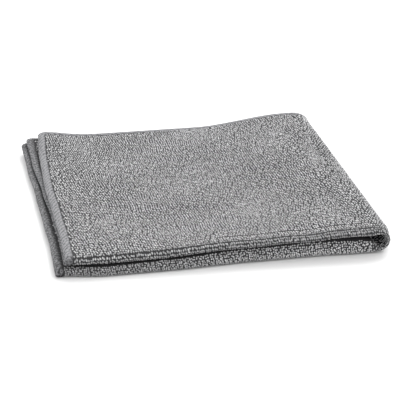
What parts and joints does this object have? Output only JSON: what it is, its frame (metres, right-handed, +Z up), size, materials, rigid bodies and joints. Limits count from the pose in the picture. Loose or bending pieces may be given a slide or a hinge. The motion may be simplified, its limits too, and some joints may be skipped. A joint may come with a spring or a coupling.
{
  "type": "microfibre cloth",
  "caption": "Square grey terry cleaning cloth with overlocked edges, folded in four, resting flat with a soft turn at one side.",
  "frame": {"origin": "middle of the folded cloth's box, on the table under its flat lowest layer", "axes": "+X along the front fold towards the turn at the right, +Y from the front fold to the open back edges, +Z up from the table"},
  "size_m": [0.2052, 0.2048, 0.0175],
  "materials": {
    "terry": "grey knitted microfibre terry, matte with a soft sheen",
    "edging": "grey overlock thread, matte and smoother than the terry"
  },
  "bodies": {
    "root": {"cloth": "terry"}
  },
  "joints": []
}
